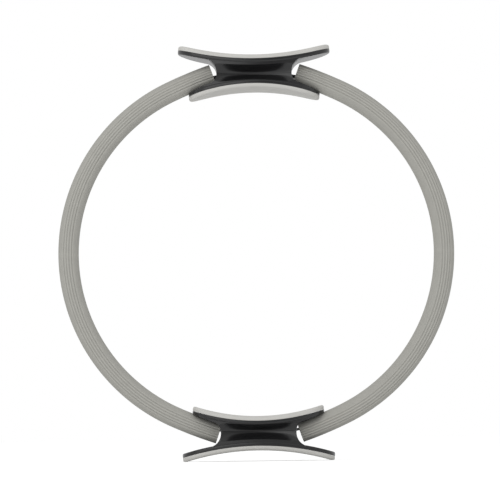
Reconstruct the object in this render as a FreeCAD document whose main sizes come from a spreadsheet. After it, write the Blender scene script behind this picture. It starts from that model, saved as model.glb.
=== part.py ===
# Pilates ring: two bows of spring steel in ribbed sleeves, joined by an upper and a lower padded handle.
# Millimetres. The ring stands upright: X to the right, Y through the ring, Z up, origin at the ring's centre.
import FreeCAD, Part
import Sketcher
import math
import os
from enum import IntEnum

VECTOR = FreeCAD.Vector
SIDEWAYS = VECTOR(1, 0, 0)
ACROSS = VECTOR(0, 1, 0)
UPWARD = VECTOR(0, 0, 1)
CLOSE = 1e-6
HALF_TURN = 180


class Spot(IntEnum):
    """Places on an edge of a sketch."""
    START = 1
    END = 2
    CENTRE = 3


class Axis(IntEnum):
    """A sketch's own axes, which start at its origin."""
    LEVEL = -1
    UPRIGHT = -2


ORIGIN = (Axis.LEVEL, Spot.START)

# Driving dimensions: name, value and what it measures. Heights in a handle are taken from its parting plane,
# where the two shells meet on the spring bands.
SIZES = [
    ("band_radius", 172.0, "bend radius of each spring band, between its two leaves"),
    ("band_offset", 8.2, "sideways from the ring's centre to the centre of each bend"),
    ("leaf_width", 14.0, "width of a spring leaf"),
    ("leaf_thickness", 1.2, "thickness of a spring leaf"),
    ("leaf_gap", 0.1, "between the two leaves of a band"),
    ("leaf_end_angle", 0.4, "degrees by which each end of a leaf stops short of a half circle"),
    ("band_clearance", 0.25, "round a band in its sleeve and in the handles"),
    ("sleeve_diameter", 19.6, "outside of a sleeve"),
    ("groove_count", 4, "grooves along the front of a sleeve, and as many along its back"),
    ("groove_pitch", 2.75, "round a sleeve, from one groove to the next"),
    ("groove_depth", 0.7, "depth of a groove"),
    ("sleeve_gap", 3.4, "along the band, from a handle's neck to the end of a sleeve"),
    ("sleeve_clearance", 0.4, "between a sleeve and the saddle that it lies in"),
    ("saddle_run_out", 1.6, "how far a saddle runs on past the end of a sleeve"),
    ("handle_depth", 59.0, "depth of both plates of a handle at their middle, through the ring"),
    ("outer_end_radius", 22.0, "round ends of the outer plate's oval, seen from above"),
    ("inner_end_radius", 24.0, "round ends of the inner plate's oval, seen from above"),
    ("rim_round", 1.7, "rounding of a plate's edge on the side of the neck"),
    ("seat_round", 0.6, "rounding of a plate's edge on the side of the pad"),
    ("outer_plate_length", 146.0, "length of the outer plate"),
    ("outer_plate_thickness", 3.8, "thickness of the outer plate"),
    ("outer_seat_radius", 246.0, "hollow curve of the outer plate under its pad"),
    ("outer_shell_height", 13.8, "parting plane to the middle of the outer seat"),
    ("inner_plate_length", 126.0, "length of the inner plate"),
    ("inner_plate_thickness", 3.6, "thickness of the inner plate at its rim"),
    ("inner_seat_radius", 196.5, "hollow curve of the inner plate under its pad"),
    ("inner_shell_height", 9.9, "parting plane to the middle of the inner seat"),
    ("inner_web_radius", 140.0, "curve of the web that thickens the inner plate towards the neck"),
    ("inner_web_drop", 2.4, "parting plane to the crown of that web's curve"),
    ("neck_inset", 0.75, "from a plate's edge to the neck beside it"),
    ("neck_length", 72.0, "length of the neck between the plates"),
    ("neck_depth_middle", 36.0, "depth of the neck at the middle of its finger hollows"),
    ("neck_depth_ends", 46.0, "depth of the neck where the finger hollows run out"),
    ("outer_end_cove", 13.0, "cove from the end of the neck to the outer plate"),
    ("inner_end_cove", 9.0, "cove from the end of the neck to the inner web"),
    ("cove_overlap", 0.3, "how far the coves and the finger hollows run into the plates"),
    ("outer_brow", 2.0, "band of the neck that stands along the outer plate, beside the finger hollows"),
    ("seam_width", 0.3, "bevelled seam along the parting plane, in the finger hollows"),
    ("seam_depth", 0.2, "depth of that seam"),
    ("pad_thickness", 4.5, "thickness of a pad"),
    ("pad_inset", 0.8, "from a plate's edge to the edge of its pad"),
    ("pad_round", 1.8, "rounding of a pad's free edge"),
    ("glue_line", 0.1, "between a plate and its pad"),
    ("stand_flat_depth", 0.5, "how much of a pad's tips is flat to stand on"),
    ("screw_near", 15.0, "from the middle of a handle to its inner clamp screws"),
    ("screw_far", 28.0, "from the middle of a handle to its outer clamp screws"),
    ("screw_diameter", 4.0, "shank of a clamp screw"),
    ("screw_length", 20.0, "length of a clamp screw under its head"),
    ("screw_clearance", 0.25, "round a screw in the shells and the bands"),
    ("thread_clearance", 0.05, "between a screw and its nut"),
    ("head_diameter", 8.0, "head of a clamp screw"),
    ("head_height", 2.6, "height of that head"),
    ("head_edge", 0.5, "bevel round the top of that head"),
    ("socket_flats", 2.5, "hexagon socket in that head, across its flats"),
    ("socket_depth", 1.5, "depth of that socket"),
    ("washer_diameter", 9.0, "washer under a screw's head"),
    ("washer_thickness", 0.8, "thickness of that washer"),
    ("washer_clearance", 0.3, "round a washer in its bore"),
    ("washer_floor", 9.6, "parting plane to the floor of a washer's bore"),
    ("nut_flats", 7.0, "clamp nut, across its flats"),
    ("nut_height", 3.2, "height of a clamp nut"),
    ("nut_clearance", 0.15, "round a nut in its pocket"),
    ("nut_floor", 6.2, "parting plane to the floor of a nut's pocket"),
    ("core_length", 58.0, "hollows cored out of the neck, along the handle"),
    ("core_width", 4.0, "width of those hollows"),
    ("core_wall", 3.0, "wall between those hollows and the finger hollows"),
    ("core_outer_depth", 7.0, "depth of the hollows in the outer shell"),
    ("core_inner_depth", 5.5, "depth of the hollows in the inner shell"),
    ("trim_allowance", 6.0, "how far blanks and cutters reach past what they cut"),
]

doc = FreeCAD.newDocument("pilates_ring")
sheet = doc.addObject("Spreadsheet::Sheet", "Sizes")
for row, (name, value, note) in enumerate(SIZES, start=1):
    sheet.set("A%d" % row, name)
    sheet.set("B%d" % row, str(value))
    sheet.set("C%d" % row, note)
    sheet.setAlias("B%d" % row, name)
doc.recompute()


def size(expression):
    """The number that an expression on the sheet's sizes gives."""
    result = sheet.evalExpression(expression)
    return float(getattr(result, "Value", result))


# Places that several pieces share, worked out from the driving dimensions.
HALF_NECK = "Sizes.neck_length / 2"
MOUTH_HEIGHT = "sqrt(Sizes.band_radius^2 - (Sizes.neck_length / 2 - Sizes.band_offset)^2)"
PARTING = "(Sizes.band_radius + %s) / 2" % MOUTH_HEIGHT
OUTER_CENTRE = "%s + Sizes.outer_shell_height + Sizes.outer_seat_radius" % PARTING
OUTER_BACK = "Sizes.outer_seat_radius + Sizes.outer_plate_thickness"
INNER_CENTRE = "%s - Sizes.inner_shell_height - Sizes.inner_seat_radius" % PARTING
INNER_BACK = "Sizes.inner_seat_radius + Sizes.inner_plate_thickness"
PAD_ROUND = "min(Sizes.pad_round; Sizes.pad_thickness / 2)"
BAND_HALF = "Sizes.leaf_thickness + Sizes.leaf_gap / 2"
SCREW_PLACES = ["-Sizes.screw_far", "-Sizes.screw_near", "Sizes.screw_near", "Sizes.screw_far"]
HEXAGON_SIDES = 6


# Small helpers for sketches and features.
def bind(item, **expressions):
    """Ties properties to expressions on the sheet. A double underscore stands for a dot."""
    for key, expression in expressions.items():
        item.setExpression(key.replace("__", "."), expression)
    return item


def body_sketch(body, role, name):
    """A sketch on one of a body's own origin planes."""
    sketch = body.newObject("Sketcher::SketchObject", name)
    plane = [item for item in body.Origin.OriginFeatures if item.Role == role][0]
    sketch.AttachmentSupport = [(plane, "")]
    sketch.MapMode = "FlatFace"
    return sketch


def line(sketch, start, end):
    """A straight edge, as its number and its first and last point."""
    edge = Part.LineSegment(VECTOR(*start, 0), VECTOR(*end, 0))
    return sketch.addGeometry(edge, False), Spot.START, Spot.END


def arc(sketch, centre, start, end, clockwise=False):
    """A round edge from start to end, as its number and its first and last point."""
    first, last = (end, start) if clockwise else (start, end)
    radius = math.dist(centre, first)
    circle = Part.Circle(VECTOR(*centre, 0), UPWARD, radius)
    angles = [math.atan2(point[1] - centre[1], point[0] - centre[0]) for point in (first, last)]
    number = sketch.addGeometry(Part.ArcOfCircle(circle, angles[0], angles[1]), False)
    return (number, Spot.END, Spot.START) if clockwise else (number, Spot.START, Spot.END)


def join(sketch, edges, smooth=()):
    """Closes a loop of edges. The corner after each edge in smooth is tangent."""
    for place, edge in enumerate(edges):
        following = edges[(place + 1) % len(edges)]
        kind = "Tangent" if place in smooth else "Coincident"
        sketch.addConstraint(Sketcher.Constraint(kind, edge[0], edge[2], following[0], following[1]))


def measure(sketch, kind, place, expression):
    """A dimension that follows the sheet."""
    number = sketch.addConstraint(Sketcher.Constraint(kind, *place, size(expression)))
    sketch.setExpression("Constraints[%d]" % number, expression)


def point_at(sketch, edge, end, x=None, y=None):
    """Sets how far one end of an edge lies from the sketch's origin."""
    if x is not None:
        measure(sketch, "DistanceX", (*ORIGIN, edge[0], end), x)
    if y is not None:
        measure(sketch, "DistanceY", (*ORIGIN, edge[0], end), y)


def centre_on_axis(sketch, edge, height):
    """Puts an arc's centre on the upright axis at a height."""
    sketch.addConstraint(Sketcher.Constraint("PointOnObject", edge[0], Spot.CENTRE, Axis.UPRIGHT))
    measure(sketch, "DistanceY", (*ORIGIN, edge[0], Spot.CENTRE), height)


def level(sketch, *edges):
    for edge in edges:
        sketch.addConstraint(Sketcher.Constraint("Horizontal", edge[0]))


def upright(sketch, *edges):
    for edge in edges:
        sketch.addConstraint(Sketcher.Constraint("Vertical", edge[0]))


def same_radius(sketch, first, *others):
    for other in others:
        sketch.addConstraint(Sketcher.Constraint("Equal", first[0], other[0]))


def same_centre(sketch, first, other):
    sketch.addConstraint(Sketcher.Constraint("Coincident", first[0], Spot.CENTRE, other[0], Spot.CENTRE))


def padded_through(body, sketch, length):
    """Extrudes a sketch by a length, half to each side of its plane."""
    pad = body.newObject("PartDesign::Pad", body.Name + "_blank")
    pad.Profile = sketch
    pad.Midplane = True
    bind(pad, Length=length)
    return pad


def rectangle(sketch, left, right, low, high):
    """A rectangle between four expressions."""
    x0, x1, y0, y1 = (size(edge) for edge in (left, right, low, high))
    corners = [(x0, y0), (x1, y0), (x1, y1), (x0, y1)]
    edges = [line(sketch, corners[k], corners[(k + 1) % 4]) for k in range(4)]
    join(sketch, edges)
    level(sketch, edges[0], edges[2])
    upright(sketch, edges[1], edges[3])
    point_at(sketch, edges[0], Spot.START, x=left, y=low)
    point_at(sketch, edges[2], Spot.START, x=right, y=high)


def side_radius(half_length, half_depth, end_radius):
    """Radius of the long arcs of an oval that touch its round ends."""
    return "((%s)^2 - 2 * (%s) * (%s) + (%s)^2) / (2 * ((%s) - (%s)))" % (
        half_length, half_length, end_radius, half_depth, half_depth, end_radius)


def oval(sketch, half_length, half_depth, end_radius):
    """An oval about the origin: a round end at each side, and two long arcs that touch both ends."""
    long_radius = side_radius(half_length, half_depth, end_radius)
    a, b, r, wide = (size(item) for item in (half_length, half_depth, end_radius, long_radius))
    share = wide / (wide - r)
    x, y = (a - r) * share, (b - wide) * (1 - share)
    right = arc(sketch, (a - r, 0), (x, -y), (x, y))
    top = arc(sketch, (0, b - wide), (x, y), (-x, y))
    left = arc(sketch, (r - a, 0), (-x, y), (-x, -y))
    bottom = arc(sketch, (0, wide - b), (-x, -y), (x, -y))
    join(sketch, [right, top, left, bottom], smooth=range(4))
    measure(sketch, "Radius", (right[0],), end_radius)
    measure(sketch, "Radius", (top[0],), long_radius)
    same_radius(sketch, right, left)
    same_radius(sketch, top, bottom)
    for end in (right, left):
        sketch.addConstraint(Sketcher.Constraint("PointOnObject", end[0], Spot.CENTRE, Axis.LEVEL))
    point_at(sketch, right, Spot.CENTRE, x="(%s) - (%s)" % (half_length, end_radius))
    point_at(sketch, left, Spot.CENTRE, x="(%s) - (%s)" % (end_radius, half_length))


def trim_to_plan(body, reach, length, depth, end_radius):
    """Cuts away all that lies outside an oval plan. The body ends within reach of its middle."""
    trim = body_sketch(body, "XY_Plane", body.Name + "_plan")
    end = "%s + Sizes.trim_allowance" % reach
    edge = "%s / 2 + 2 * Sizes.trim_allowance" % depth
    rectangle(trim, "-(%s)" % end, end, "-(%s)" % edge, edge)
    oval(trim, length + " / 2", depth + " / 2", end_radius)
    pocket = body.newObject("PartDesign::Pocket", body.Name + "_trim")
    pocket.Profile = trim
    pocket.Type = "ThroughAll"
    pocket.Reversed = True
    doc.recompute()


def mirrored(source, label, normal):
    """A sub-part's twin on the other side of the ring's centre."""
    twin = doc.addObject("Part::Mirroring", label)
    twin.Label = label
    twin.Source = source
    twin.Normal = normal
    return twin


def boolean(kind, label, base, tool):
    result = doc.addObject("Part::" + kind, label)
    result.Label = label
    result.Base = base
    result.Tool = tool
    return result


def gathered(kind, label, items):
    """A Part::Compound of separate solids, or a Part::MultiFuse of overlapping ones."""
    group = doc.addObject("Part::" + kind, label)
    group.Label = label
    if kind == "Compound":
        group.Links = items
    else:
        group.Shapes = items
    return group


# Curved slabs: the plates of the handles and the pads on them.
def slab(name, centre, side, near_radius, far_radius, length, depth, end_radius):
    """A slab between two arcs about one centre, trimmed to an oval plan.

    side is 1 where the centre lies outside the ring, and -1 where it lies towards the ring's centre.
    """
    body = doc.addObject("PartDesign::Body", name)
    body.Label = name
    blank_half = "%s / 2 + Sizes.trim_allowance" % length
    mid = size(centre)
    half = size(blank_half)

    def on_arc(x, radius):
        return x, mid - side * math.sqrt(size(radius) ** 2 - x * x)

    sketch = body_sketch(body, "XZ_Plane", name + "_profile")
    near = arc(sketch, (0, mid), on_arc(-half, near_radius), on_arc(half, near_radius), side < 0)
    right = line(sketch, on_arc(half, near_radius), on_arc(half, far_radius))
    far = arc(sketch, (0, mid), on_arc(half, far_radius), on_arc(-half, far_radius), side > 0)
    left = line(sketch, on_arc(-half, far_radius), on_arc(-half, near_radius))
    join(sketch, [near, right, far, left])
    centre_on_axis(sketch, near, centre)
    same_centre(sketch, far, near)
    measure(sketch, "Radius", (near[0],), near_radius)
    measure(sketch, "Radius", (far[0],), far_radius)
    upright(sketch, left, right)
    point_at(sketch, right, Spot.START, x=blank_half)
    point_at(sketch, left, Spot.START, x="-(%s)" % blank_half)
    padded_through(body, sketch, depth + " + 2 * Sizes.trim_allowance")
    trim_to_plan(body, blank_half, length, depth, end_radius)
    return body


def round_edge(body, radius, limit):
    """Rounds a slab's edge all round the face that is curved to a radius."""
    base = body.Tip
    shape = base.Shape
    wanted = size(radius)
    face = [
        item for item in shape.Faces
        if isinstance(item.Surface, Part.Cylinder) and abs(item.Surface.Radius - wanted) < CLOSE
    ][0]
    names = []
    for number, edge in enumerate(shape.Edges, start=1):
        if any(edge.isSame(other) for other in face.Edges):
            names.append("Edge%d" % number)
    fillet = body.newObject("PartDesign::Fillet", body.Name + "_round")
    fillet.Base = (base, names)
    bind(fillet, Radius=limit)
    doc.recompute()


def plate(name, centre, side, seat_radius, back_radius, length, end_radius, thickness):
    """A plate of a handle, rounded at both edges."""
    body = slab(name, centre, side, seat_radius, back_radius, length,
                "Sizes.handle_depth", end_radius)
    round_edge(body, back_radius, "min(Sizes.rim_round; %s / 2)" % thickness)
    round_edge(body, seat_radius, "min(Sizes.seat_round; %s / 4)" % thickness)
    return body


def pad(name, centre, side, seat_radius, length, end_radius):
    """A soft pad on a plate, rounded at its free edge."""
    glued = "%s - Sizes.glue_line" % seat_radius
    free = "%s - Sizes.pad_thickness" % glued
    body = slab(name, centre, side, free, glued, "(%s - 2 * Sizes.pad_inset)" % length,
                "(Sizes.handle_depth - 2 * Sizes.pad_inset)",
                "(%s - Sizes.pad_inset)" % end_radius)
    round_edge(body, free, PAD_ROUND)
    return body


def stand_flats(body):
    """Levels the two tips of the outer pad, where the ring stands on them."""
    ball_reach = "(Sizes.outer_plate_length / 2 - Sizes.pad_inset - %s)" % PAD_ROUND
    ball_radius = "(Sizes.outer_seat_radius - Sizes.glue_line - Sizes.pad_thickness + %s)" % PAD_ROUND
    tip = "%s - sqrt(%s^2 - %s^2) + %s" % (OUTER_CENTRE, ball_radius, ball_reach, PAD_ROUND)
    half = "Sizes.outer_plate_length / 2"
    sketch = body_sketch(body, "XZ_Plane", body.Name + "_stand")
    rectangle(sketch, "-(%s)" % half, half, "%s - Sizes.stand_flat_depth" % tip,
              "%s + Sizes.trim_allowance" % tip)
    pocket = body.newObject("PartDesign::Pocket", body.Name + "_stand_cut")
    pocket.Profile = sketch
    pocket.Midplane = True
    bind(pocket, Length="2 * Sizes.handle_depth")
    doc.recompute()


# The neck between the plates, in two halves, with a finger hollow at the front and at the back.
def trim_neck(body, length, end_radius):
    """Trims a half of the neck to the plan of its plate, a little inside the plate's edge."""
    trim_to_plan(body, "Sizes.inner_web_radius", "(%s - 2 * Sizes.neck_inset)" % length,
                 "(Sizes.handle_depth - 2 * Sizes.neck_inset)", "(%s - Sizes.neck_inset)" % end_radius)


def outer_neck():
    """The half of the neck on the outer plate, with a large cove at each end."""
    body = doc.addObject("PartDesign::Body", "outer_neck")
    top_radius = "%s - Sizes.cove_overlap" % OUTER_BACK
    parting, a, r = size(PARTING), size(HALF_NECK), size("Sizes.outer_end_cove")
    centre, radius = size(OUTER_CENTRE), size(top_radius)
    cove_height = centre - math.sqrt((radius + r) ** 2 - (a + r) ** 2)
    share = radius / (radius + r)
    touch = ((a + r) * share, centre + (cove_height - centre) * share)
    other_touch = (-touch[0], touch[1])

    sketch = body_sketch(body, "XZ_Plane", "outer_neck_profile")
    base = line(sketch, (-a, parting), (a, parting))
    right = line(sketch, (a, parting), (a, cove_height))
    right_cove = arc(sketch, (a + r, cove_height), (a, cove_height), touch, True)
    top = arc(sketch, (0, centre), touch, other_touch, True)
    left_cove = arc(sketch, (-a - r, cove_height), other_touch, (-a, cove_height), True)
    left = line(sketch, (-a, cove_height), (-a, parting))
    join(sketch, [base, right, right_cove, top, left_cove, left], smooth=(1, 2, 3, 4))
    level(sketch, base)
    upright(sketch, left, right)
    centre_on_axis(sketch, top, OUTER_CENTRE)
    measure(sketch, "Radius", (top[0],), top_radius)
    measure(sketch, "Radius", (right_cove[0],), "Sizes.outer_end_cove")
    same_radius(sketch, right_cove, left_cove)
    point_at(sketch, base, Spot.START, x="-(%s)" % HALF_NECK, y=PARTING)
    point_at(sketch, base, Spot.END, x=HALF_NECK)
    padded_through(body, sketch, "Sizes.handle_depth")
    trim_neck(body, "Sizes.outer_plate_length", "Sizes.outer_end_radius")
    return body


def inner_neck():
    """The half of the neck on the inner plate, with the webs that thicken that plate's wings."""
    body = doc.addObject("PartDesign::Body", "inner_neck")
    web_centre = "%s - Sizes.inner_web_drop - Sizes.inner_web_radius" % PARTING
    core_radius = "Sizes.inner_seat_radius + Sizes.inner_plate_thickness / 2"
    parting, a, r = size(PARTING), size(HALF_NECK), size("Sizes.inner_end_cove")
    web, web_radius = size(web_centre), size("Sizes.inner_web_radius")
    plate_centre, plate_radius = size(INNER_CENTRE), size(core_radius)
    cove_height = web + math.sqrt((web_radius + r) ** 2 - (a + r) ** 2)
    share = web_radius / (web_radius + r)
    touch = ((a + r) * share, web + (cove_height - web) * share)
    rise = plate_centre - web
    meet_height = plate_centre + (web_radius ** 2 - plate_radius ** 2 - rise ** 2) / (2 * rise)
    meet = (math.sqrt(web_radius ** 2 - (meet_height - web) ** 2), meet_height)

    def flipped(point):
        return -point[0], point[1]

    sketch = body_sketch(body, "XZ_Plane", "inner_neck_profile")
    base = line(sketch, (a, parting), (-a, parting))
    left = line(sketch, (-a, parting), (-a, cove_height))
    left_cove = arc(sketch, (-a - r, cove_height), (-a, cove_height), flipped(touch), True)
    left_web = arc(sketch, (0, web), flipped(touch), flipped(meet))
    core = arc(sketch, (0, plate_centre), flipped(meet), meet, True)
    right_web = arc(sketch, (0, web), meet, touch)
    right_cove = arc(sketch, (a + r, cove_height), touch, (a, cove_height), True)
    right = line(sketch, (a, cove_height), (a, parting))
    edges = [base, left, left_cove, left_web, core, right_web, right_cove, right]
    join(sketch, edges, smooth=(1, 2, 5, 6))
    level(sketch, base)
    upright(sketch, left, right)
    centre_on_axis(sketch, left_web, web_centre)
    same_centre(sketch, right_web, left_web)
    centre_on_axis(sketch, core, INNER_CENTRE)
    measure(sketch, "Radius", (left_web[0],), "Sizes.inner_web_radius")
    measure(sketch, "Radius", (core[0],), core_radius)
    measure(sketch, "Radius", (left_cove[0],), "Sizes.inner_end_cove")
    same_radius(sketch, left_web, right_web)
    same_radius(sketch, left_cove, right_cove)
    point_at(sketch, base, Spot.START, x=HALF_NECK, y=PARTING)
    point_at(sketch, base, Spot.END, x="-(%s)" % HALF_NECK)
    padded_through(body, sketch, "Sizes.handle_depth")
    trim_neck(body, "Sizes.inner_plate_length", "Sizes.inner_end_radius")
    return body


def hollow_section(name, place):
    """The finger hollow's outline at one place: a half parabola on either side of the seam."""
    x, parting, half_depth = size(place), size(PARTING), sheet.handle_depth / 2
    long_side = size(side_radius(
        "Sizes.outer_plate_length / 2", "Sizes.handle_depth / 2", "Sizes.outer_end_radius"))
    rim = long_side - half_depth - math.sqrt(long_side ** 2 - x * x)
    low = size(INNER_CENTRE) + math.sqrt((size(INNER_BACK) - sheet.cove_overlap) ** 2 - x * x)
    high = size(OUTER_CENTRE) - math.sqrt((size(OUTER_BACK) + sheet.outer_brow) ** 2 - x * x)
    flare = (sheet.neck_depth_ends - sheet.neck_depth_middle) / 2 * (x / size(HALF_NECK)) ** 2
    face = -(sheet.neck_depth_middle / 2 + flare)
    front = face - sheet.handle_depth

    def at(y, z):
        return VECTOR(x, y, z)

    def scoop(lip, edge):
        """From the seam, where the hollow is deepest, out to a plate."""
        curve = Part.BezierCurve()
        curve.setPoles([at(face, lip), at(face, (lip + edge) / 2), at(rim, edge)])
        return curve.toShape()

    lips = [parting - sheet.seam_width / 2, parting + sheet.seam_width / 2]
    seam = at(face + sheet.seam_depth, parting)
    corners = [at(rim, low), at(front, low), at(front, high), at(rim, high)]
    edges = [Part.makeLine(start, end) for start, end in zip(corners, corners[1:])]
    edges += [scoop(lips[1], high), Part.makeLine(at(face, lips[1]), seam),
              Part.makeLine(seam, at(face, lips[0])), scoop(lips[0], low)]
    item = doc.addObject("Part::Feature", name)
    item.Shape = Part.Wire(Part.__sortEdges__(edges))
    return item


def finger_hollows():
    """The two hollows, deepest at the middle of the neck and running out at its ends."""
    reach = "Sizes.inner_plate_length / 2"
    places = [("left", "-" + reach), ("middle", "0"), ("right", reach)]
    front = doc.addObject("Part::Loft", "front_hollow")
    front.Sections = [hollow_section("hollow_" + name, place) for name, place in places]
    front.Solid = True
    back = mirrored(front, "back_hollow", ACROSS)
    return gathered("Compound", "finger_hollows", [front, back])


# What bends round with the ring: spring leaves and sleeves, made for the left side.
def bow(name, inside, outside, half_width, angle):
    """A strip bent about the left bend's centre, between two radii."""
    body = doc.addObject("PartDesign::Body", name)
    body.Label = name
    sketch = body_sketch(body, "XY_Plane", name + "_section")
    middle = "-Sizes.band_offset"
    rectangle(sketch, "%s - (%s)" % (middle, outside), "%s - (%s)" % (middle, inside),
              "-(%s)" % half_width, half_width)
    axis = Part.LineSegment(VECTOR(size(middle), 0, 0), VECTOR(size(middle), size("Sizes.leaf_width"), 0))
    number = sketch.addGeometry(axis, True)
    sketch.addConstraint(Sketcher.Constraint("Vertical", number))
    sketch.addConstraint(Sketcher.Constraint("PointOnObject", number, Spot.START, Axis.LEVEL))
    measure(sketch, "DistanceX", (*ORIGIN, number, Spot.START), middle)
    measure(sketch, "DistanceY", (number, Spot.START, number, Spot.END), "Sizes.leaf_width")
    turned = body.newObject("PartDesign::Revolution", name + "_bend")
    turned.Profile = sketch
    turned.ReferenceAxis = (sketch, ["Axis0"])
    turned.Midplane = True
    bind(turned, Angle=angle)
    return body


def leaf(name, inside, outside):
    """One spring leaf, drilled at both ends for the clamp screws."""
    body = bow(name, inside, outside, "Sizes.leaf_width / 2", "180 - 2 * Sizes.leaf_end_angle")
    holes = body_sketch(body, "XY_Plane", name + "_holes")
    for place in SCREW_PLACES[:2]:
        radius = "Sizes.screw_diameter / 2 + Sizes.screw_clearance"
        circle = Part.Circle(VECTOR(size(place), 0, 0), UPWARD, size(radius))
        number = holes.addGeometry(circle, False)
        holes.addConstraint(Sketcher.Constraint("PointOnObject", number, Spot.CENTRE, Axis.LEVEL))
        measure(holes, "DistanceX", (*ORIGIN, number, Spot.CENTRE), place)
        measure(holes, "Radius", (number,), radius)
    pocket = body.newObject("PartDesign::Pocket", name + "_drill")
    pocket.Profile = holes
    pocket.Midplane = True
    pocket.Type = "ThroughAll"
    doc.recompute()
    return body


def bent_solid(label, face, end_angle):
    """A section at the ring's left side, bent round to an angle short of upright at both ends."""
    centre = VECTOR(-sheet.band_offset, 0, 0)
    sweep = HALF_TURN - 2 * end_angle
    start = face.copy()
    start.rotate(centre, ACROSS, -sweep / 2)
    item = doc.addObject("Part::Feature", label)
    item.Label = label
    item.Shape = start.revolve(centre, ACROSS, sweep)
    item.Placement = FreeCAD.Placement()
    return item


def sleeve_end(run):
    """Degrees from upright to a place that lies a run along the band from the neck."""
    mouth = math.asin((sheet.neck_length / 2 - sheet.band_offset) / sheet.band_radius)
    return math.degrees(mouth + run / sheet.band_radius)


def sleeve(label):
    """The sleeve: a round tube, grooved along its front and its back by arcs through a wave."""
    middle = VECTOR(-sheet.band_offset - sheet.band_radius, 0, 0)
    crest = sheet.sleeve_diameter / 2
    valley = crest - sheet.groove_depth
    flank = (crest + valley) / 2
    shoulder = crest - sheet.groove_depth / 8
    count = int(sheet.groove_count)
    quarter = sheet.groove_pitch / crest / 4

    def at(radius, angle):
        return middle + VECTOR(radius * math.cos(angle), radius * math.sin(angle), 0)

    def bow_arc(*places):
        return Part.Arc(*[at(radius, angle) for radius, angle in places]).toShape()

    edges = []
    spread = 4 * quarter * count / 2
    for face in (-math.pi / 2, math.pi / 2):
        start, end = face - spread, face + spread
        edges.append(bow_arc((crest, start), (shoulder, start + quarter / 2), (flank, start + quarter)))
        for groove in range(count):
            floor = start + (4 * groove + 2) * quarter
            edges.append(bow_arc((flank, floor - quarter), (valley, floor), (flank, floor + quarter)))
            if groove < count - 1:
                edges.append(bow_arc((flank, floor + quarter), (crest, floor + 2 * quarter),
                                     (flank, floor + 3 * quarter)))
        edges.append(bow_arc((flank, end - quarter), (shoulder, end - quarter / 2), (crest, end)))
        edges.append(bow_arc((crest, end), (crest, face + math.pi / 2), (crest, face + math.pi - spread)))
    outline = Part.Wire(edges)
    half_bore = size(BAND_HALF) + sheet.band_clearance
    half_width = sheet.leaf_width / 2 + sheet.band_clearance
    bore = Part.makePolygon([
        middle + VECTOR(x * half_bore, y * half_width, 0)
        for x, y in ((-1, -1), (1, -1), (1, 1), (-1, 1), (-1, -1))
    ])
    face = Part.makeFace([outline, bore], "Part::FaceMakerBullseye")
    return bent_solid(label, face, sleeve_end(sheet.sleeve_gap))


def saddle(label):
    """The room that a sleeve needs in the shells."""
    middle = VECTOR(-sheet.band_offset - sheet.band_radius, 0, 0)
    radius = sheet.sleeve_diameter / 2 + sheet.sleeve_clearance
    face = Part.Face(Part.Wire(Part.makeCircle(radius, middle)))
    return bent_solid(label, face, sleeve_end(sheet.sleeve_gap - sheet.saddle_run_out))


# Clamp hardware and the hollows that take it.
def rod(label, radius, place, low, height):
    """An upright cylinder at a place along the handle."""
    item = doc.addObject("Part::Cylinder", label)
    bind(item, Radius=radius, Height=height, Placement__Base__x=place, Placement__Base__z=low)
    return item


def hexagon(label, flats, place, low, height):
    """An upright hexagonal rod at a place along the handle, given across its flats."""
    item = doc.addObject("Part::Prism", label)
    item.Polygon = HEXAGON_SIDES
    bind(item, Circumradius="(%s) / sqrt(3)" % flats, Height=height,
         Placement__Base__x=place, Placement__Base__z=low)
    return item


def clamp_screw(label, place):
    """A socket screw whose head sits on its washer."""
    under_head = "%s + Sizes.washer_floor + Sizes.washer_thickness" % PARTING
    shank = rod(label + "_shank", "Sizes.screw_diameter / 2", place,
                "%s - Sizes.screw_length" % under_head, "Sizes.screw_length")
    rim = rod(label + "_rim", "Sizes.head_diameter / 2", place, under_head,
              "Sizes.head_height - Sizes.head_edge")
    crown = doc.addObject("Part::Cone", label + "_crown")
    bind(crown, Radius1="Sizes.head_diameter / 2", Radius2="Sizes.head_diameter / 2 - Sizes.head_edge",
         Height="Sizes.head_edge", Placement__Base__x=place,
         Placement__Base__z="%s + Sizes.head_height - Sizes.head_edge" % under_head)
    socket = hexagon(label + "_socket", "Sizes.socket_flats", place,
                     "%s + Sizes.head_height - Sizes.socket_depth" % under_head, "Sizes.trim_allowance")
    whole = gathered("MultiFuse", label + "_turned", [shank, rim, crown])
    return boolean("Cut", label, whole, socket)


def clamp_washer(label, place):
    floor = "%s + Sizes.washer_floor" % PARTING
    disc = rod(label + "_disc", "Sizes.washer_diameter / 2", place, floor, "Sizes.washer_thickness")
    hole = rod(label + "_hole", "Sizes.screw_diameter / 2 + Sizes.screw_clearance", place,
               "%s - Sizes.trim_allowance" % floor, "Sizes.washer_thickness + 2 * Sizes.trim_allowance")
    return boolean("Cut", label, disc, hole)


def clamp_nut(label, place):
    low = "%s - Sizes.nut_floor - Sizes.nut_height" % PARTING
    block = hexagon(label + "_block", "Sizes.nut_flats", place, low, "Sizes.nut_height")
    hole = rod(label + "_thread", "Sizes.screw_diameter / 2 + Sizes.thread_clearance", place,
               "%s - Sizes.trim_allowance" % low, "Sizes.nut_height + 2 * Sizes.trim_allowance")
    return boolean("Cut", label, block, hole)


def hardware(label, make):
    """One kind of clamp hardware, at each of a handle's four screw places."""
    items = [make("%s_%d" % (label, number), place) for number, place in enumerate(SCREW_PLACES, start=1)]
    return gathered("Compound", label, items)


def core_hollow(label, side, low, depth):
    """A hollow cored out of the neck, beside the bands."""
    item = doc.addObject("Part::Box", label)
    near = "Sizes.neck_depth_middle / 2 - Sizes.core_wall"
    start = "%s - Sizes.core_width" % near if side > 0 else "-(%s)" % near
    bind(item, Length="Sizes.core_length", Width="Sizes.core_width", Height=depth,
         Placement__Base__x="-Sizes.core_length / 2", Placement__Base__y=start, Placement__Base__z=low)
    return item


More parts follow.
